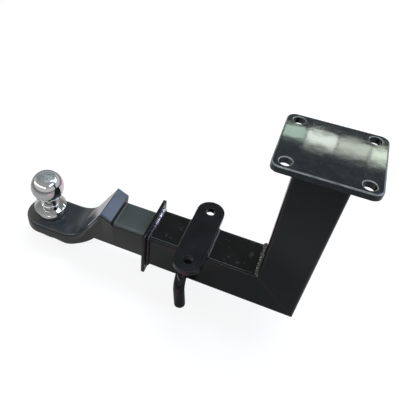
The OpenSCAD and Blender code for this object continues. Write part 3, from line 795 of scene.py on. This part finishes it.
# Scale pits 1.5 mm across from the forging, and clouds 20 mm across in the primer
pits = noise(tree, place, 650.0, 3.0, 0.6)
clouds = noise(tree, place, 50.0, 3.0)
tint = mix(tree, clouds, "0f100f", "181918")
# Faces that look up are painted lighter, partly a film of dust and partly a painted
# sheen of the light from above: bluish on the tongue and most of all on the lug, greenish
# on the shank
spot = add(tree, "SeparateXYZ", Vector=place)
facing = add(tree, "NewGeometry")
upness = add(tree, "SeparateXYZ", Vector=facing.outputs["Normal"])
level = ramp(tree, upness.outputs["Z"], 0.45, 0.85)
shank = ramp(tree, spot.outputs["X"], -0.244, -0.240)
lug = ramp(tree, spot.outputs["X"], -0.262, -0.257)
tongue = mix(tree, lug, "30373a", "434c5a")
tip = ramp(tree, spot.outputs["X"], -0.362, -0.388)
tongue = mix(tree, tip, tongue, "4f534d")
dust_and_sheen = mix(tree, shank, tongue, "424a47")
tint = mix(tree, level, tint, dust_and_sheen)
# A painted highlight: a pale streak 16 mm long on the nose's near edge towards the tongue
streak_side = ramp(tree, spot.outputs["Y"], -0.0265, -0.0280)
streak_facing = ramp(tree, upness.outputs["Y"], -0.80, -0.60)
streak_place = calc(tree, "ADD", spot.outputs["X"], 0.2715)
streak_place = calc(tree, "ABSOLUTE", streak_place)
streak_place = ramp(tree, streak_place, 0.0088, 0.0060)
nose_highlight = calc(tree, "MULTIPLY", streak_side, streak_facing)
nose_highlight = calc(tree, "MULTIPLY", nose_highlight, streak_place)
tint = mix(tree, nose_highlight, tint, "b9c6cc")
rough = ramp(tree, clouds, 0.3, 0.7, 0.17, 0.26)
swell = add(tree, "Bump", Distance=0.00005, Height=clouds)
skin = add(tree, "Bump", Distance=0.000018, Height=pits, Normal=swell.outputs[0])
shader = add(tree, "BsdfPrincipled", Base_Color=tint, Roughness=rough,
             Specular_IOR_Level=0.45, Normal=skin.outputs[0])
add(tree, "OutputMaterial", Surface=shader.outputs[0])
coat(forging, made)


# Tow ball: turned steel, ball, waisted neck, coned flange and ring in one piece with a
# threaded stud, chrome-plated all over. The flat on top keeps its lathe rings, and its
# chrome is duller there. The profile is drawn point by point and spun round.
tongue_z = axis_z + tongue_h * MM
# Radii and heights over the tongue's upper face, in mm
ball_r, ball_mid_h, flat_r = 25.0, 57.0, 14.0
neck_r, neck_fillet, flange_r, flange_top_h, ring_r = 12.5, 3.0, 25.0, 22.0, 21.5
stud_r, stud_low_h, thread_high_h, thread_core_r, thread_pitch = 11.0, -49.0, -41.0, 9.7, 2.5
flat_h = ball_mid_h + math.sqrt(ball_r ** 2 - flat_r ** 2)
fillet_mid_r = neck_r + neck_fillet
high_mid_h = ball_mid_h - math.sqrt((ball_r + neck_fillet) ** 2 - fillet_mid_r ** 2)
low_mid_h = flange_top_h + neck_fillet


def arc(mid_r, mid_h, radius, start, end, steps):
    """Points on an arc of the profile, from one angle to another, in degrees."""
    angles = [math.radians(start + (end - start) * i / steps) for i in range(steps + 1)]
    return [(mid_r + radius * math.cos(a), mid_h + radius * math.sin(a)) for a in angles]


ball_from = math.degrees(math.acos((flat_r + 0.25) / ball_r))
ball_to = -math.degrees(math.asin((ball_mid_h - high_mid_h) / (ball_r + neck_fillet)))
profile = [(0, flat_h), (flat_r - 0.5, flat_h), (flat_r - 0.1, flat_h - 0.1)]
profile += arc(0, ball_mid_h, ball_r, ball_from, ball_to, 34)
profile += arc(fillet_mid_r, high_mid_h, neck_fillet, 180 + ball_to, 180, 6)[1:]
profile += arc(fillet_mid_r, low_mid_h, neck_fillet, 180, 270, 8)
profile += [(flange_r - 0.4, 18.1), (flange_r - 0.1, 17.9), (flange_r, 17.6),
            (flange_r, 15.7), (flange_r - 0.3, 15.3), (ring_r - 0.8, 12.6),
            (ring_r - 1.4, 12.0), (ring_r - 1.9, 11.4)]
profile += arc(ring_r - 6.5, 5.5, 6.5, 50, 0, 10)
profile += [(ring_r, 1.7), (ring_r - 0.3, 1.0), (ring_r - 1.4, 0), (stud_r + 0.4, 0),
            (stud_r, -0.4), (stud_r, thread_high_h + 1.2), (thread_core_r, thread_high_h),
            (thread_core_r, stud_low_h + 0.7), (thread_core_r - 0.7, stud_low_h),
            (0, stud_low_h)]
bpy.ops.object.select_all(action="DESELECT")
bpy.ops.mesh.primitive_plane_add(size=0.01, location=(ball_x, 0, tongue_z + flat_h * MM))
ball = bpy.context.active_object
ball.name = "turned_tow_ball"
bpy.ops.object.transform_apply(location=True, rotation=True, scale=True)
bpy.ops.object.mode_set(mode="EDIT")
bpy.ops.mesh.select_mode(type="VERT")
bpy.ops.mesh.select_all(action="SELECT")
bpy.ops.mesh.merge(type="CENTER")
for (old_r, old_h), (new_r, new_h) in zip(profile, profile[1:]):
    bpy.ops.mesh.extrude_vertices_move(TRANSFORM_OT_translate={
        "value": ((new_r - old_r) * MM, 0, (new_h - old_h) * MM)})
bpy.ops.mesh.select_all(action="SELECT")
bpy.ops.mesh.spin(steps=96, angle=2 * math.pi, center=(ball_x, 0, 0), axis=(0, 0, 1))
bpy.ops.mesh.select_all(action="SELECT")
bpy.ops.mesh.remove_doubles(threshold=0.000005)
bpy.ops.mesh.normals_make_consistent(inside=False)
bpy.ops.object.mode_set(mode="OBJECT")
# The thread: one ridge wound up the stud's end, its ends hidden in the chamfer and nut
bpy.ops.object.select_all(action="DESELECT")
bpy.ops.mesh.primitive_circle_add(vertices=4, radius=0.0009, fill_type="NOTHING",
                                  location=(thread_core_r * MM, 0, 0),
                                  rotation=(math.pi / 2, 0, 0))
ridge = bpy.context.active_object
bpy.ops.object.transform_apply(location=True, rotation=True, scale=True)
bpy.ops.object.mode_set(mode="EDIT")
bpy.ops.transform.resize(value=(1.4, 1, 1.2), center_override=(thread_core_r * MM, 0, 0))
bpy.ops.object.mode_set(mode="OBJECT")
wind = ridge.modifiers.new("wind", "SCREW")
wind.screw_offset = thread_pitch * MM
wind.iterations = 2
wind.steps = wind.render_steps = 64
bpy.ops.object.modifier_apply(modifier=wind.name)
bpy.ops.object.mode_set(mode="EDIT")
bpy.ops.mesh.select_all(action="SELECT")
bpy.ops.mesh.fill_holes(sides=4)
bpy.ops.mesh.select_all(action="SELECT")
bpy.ops.mesh.normals_make_consistent(inside=False)
bpy.ops.transform.translate(value=(ball_x, 0, tongue_z + (stud_low_h + 1.7) * MM))
bpy.ops.object.mode_set(mode="OBJECT")
bpy.ops.object.select_all(action="DESELECT")
bpy.context.view_layer.objects.active = ball
weld = ball.modifiers.new("thread", "BOOLEAN")
weld.operation = "UNION"
weld.solver = "EXACT"
weld.object = ridge
bpy.ops.object.modifier_apply(modifier=weld.name)
bpy.data.objects.remove(ridge)
soften_edges(ball, 0, 32.0)
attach(ball, "ball_mount")
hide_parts("tow_ball")

made, tree = finish("bright_chrome")
place = add(tree, "TexCoord").outputs["Object"]
# Chrome mirrors the room all round, a little blurred in smudges 6 mm across
smudge = noise(tree, place, 160.0, 2.0)
# The flat: turned rings 0.9 mm apart, drawn coarser than real ones, and 2 mm mottling
ring_pitch = 0.0009
about = add(tree, "Mapping", Vector=place, Location=(-ball_x, 0, 0))
apart = add(tree, "SeparateXYZ", Vector=about.outputs[0])
level = add(tree, "CombineXYZ", X=apart.outputs["X"], Y=apart.outputs["Y"])
out = add(tree, "VectorMath", {"operation": "LENGTH"}, _0=level.outputs[0])
turned = calc(tree, "MULTIPLY", out.outputs["Value"], 2 * math.pi / ring_pitch)
turned = calc(tree, "SINE", turned)
mottle = noise(tree, place, 460.0, 3.0, 0.65)
patchy = ramp(tree, mottle, 0.36, 0.66)
cut_face = ramp(tree, apart.outputs["Z"], tongue_z + (flat_h - 0.3) * MM,
                tongue_z + (flat_h - 0.1) * MM)
dull = mix(tree, patchy, "7a8180", "d6dddc")
colour = mix(tree, cut_face, "c4c5c4", dull)
bright = ramp(tree, smudge, 0.35, 0.7, 0.03, 0.08)
rough = add(tree, "Mix", {"data_type": "FLOAT"}, _0=cut_face, _2=bright, _3=0.45)
ripple = calc(tree, "MULTIPLY", turned, cut_face)
skin = add(tree, "Bump", Distance=0.00003, Height=ripple)
pocks = calc(tree, "MULTIPLY", mottle, cut_face)
skin = add(tree, "Bump", Distance=0.00008, Strength=0.5, Height=pocks,
           Normal=skin.outputs[0])
shader = add(tree, "BsdfPrincipled", Base_Color=colour, Metallic=1.0,
             Roughness=rough.outputs[0], Normal=skin.outputs[0])
add(tree, "OutputMaterial", Surface=shader.outputs[0])
coat(ball, made)


# Ball nut and split lock washer: M22, from hexagon bar and from square spring wire. They
# clamp the ball's stud under the tongue. Both are zinc-plated.
made, tree = finish("zinc_plate")
place = add(tree, "TexCoord").outputs["Object"]
# Zinc has a soft grey gleam, clouded every 5 mm
bloom = noise(tree, place, 220.0, 3.0)
colour = mix(tree, bloom, "bcbbb5", "c9c8c2")
rough = ramp(tree, bloom, 0.3, 0.7, 0.22, 0.38)
shader = add(tree, "BsdfPrincipled", Base_Color=colour, Metallic=1.0,
             Roughness=rough)
add(tree, "OutputMaterial", Surface=shader.outputs[0])
for node in ("ball_lock_washer", "ball_nut"):
    dress(node, made)


# Hitch pin: 16 mm round steel bar, bent once for its handle and drilled across for its
# clip, pushed through the tube and the ball mount's shank. Painted gloss black.
made, tree = finish("gloss_black_pin")
place = add(tree, "TexCoord").outputs["Object"]
# The gloss draws narrow gleams along the bar, dulled by scuffs 3 mm across
scuffs = noise(tree, place, 300.0, 3.0)
colour = mix(tree, scuffs, "050507", "0b0b10")
rough = ramp(tree, scuffs, 0.3, 0.7, 0.05, 0.12)
shader = add(tree, "BsdfPrincipled", Base_Color=colour, Roughness=rough,
             Specular_IOR_Level=0.28)
add(tree, "OutputMaterial", Surface=shader.outputs[0])
dress("hitch_pin", made)


# Pin clip: 4 mm spring wire, bent to a straight shank that goes through the pin and a
# waved arm that grips round it. Zinc-plated like the nut. It is drawn as the wire's end
# face, swept along the runs and spun round the bends.
wire_r, clip_y, clip_lean = 2.0, 0.0425, math.radians(7)


def on_clip(u, v):
    """A place in the clip's plane, u along its shank and v up, in the frame."""
    return Vector((pin_x - (u * math.cos(clip_lean) + v * math.sin(clip_lean)) * MM, clip_y,
                   axis_z - (u * math.sin(clip_lean) - v * math.cos(clip_lean)) * MM))


def on_bend(mid_u, mid_v, radius, angle):
    """A place on a bend in the clip's plane, at an angle in degrees."""
    angle = math.radians(angle)
    return mid_u + radius * math.cos(angle), mid_v + radius * math.sin(angle)


tip = (-18.0, 0.0)
bpy.ops.object.select_all(action="DESELECT")
bpy.ops.mesh.primitive_circle_add(vertices=20, radius=wire_r * MM, fill_type="NGON",
                                  location=on_clip(*tip),
                                  rotation=(0, math.pi / 2 - clip_lean, 0))
clip = bpy.context.active_object
clip.name = "spring_wire_clip"
bpy.ops.object.transform_apply(location=True, rotation=True, scale=True)
bpy.ops.object.mode_set(mode="EDIT")
# Each bend is its middle, its radius and two angles; a straight run leads up to it
bends = ((34.386, -8, 8, 90, -120), (11.425, -8.6, 4, 60, 143.03),
         (0, 0, 10.3, 323.03, 216.97), (-11.425, -8.6, 4, 36.97, 135))
for mid_u, mid_v, bend_r, start, end in bends:
    run = on_clip(*on_bend(mid_u, mid_v, bend_r, start)) - on_clip(*tip)
    if run.length > 0.0001:
        bpy.ops.mesh.extrude_region_move(TRANSFORM_OT_translate={"value": run})
    turn = math.radians(end - start)
    bpy.ops.mesh.spin(steps=max(8, round(abs(turn) / 0.12)), angle=abs(turn),
                      center=on_clip(mid_u, mid_v), axis=(0, -1 if turn > 0 else 1, 0))
    tip = on_bend(mid_u, mid_v, bend_r, end)
bpy.ops.mesh.select_all(action="SELECT")
bpy.ops.mesh.remove_doubles(threshold=0.00001)
bpy.ops.mesh.normals_make_consistent(inside=False)
bpy.ops.object.mode_set(mode="OBJECT")
soften_edges(clip, 0.0006, 50.0)
coat(clip, bpy.data.materials["zinc_plate"])
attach(clip, "pin_clip")
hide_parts("pin_clip")
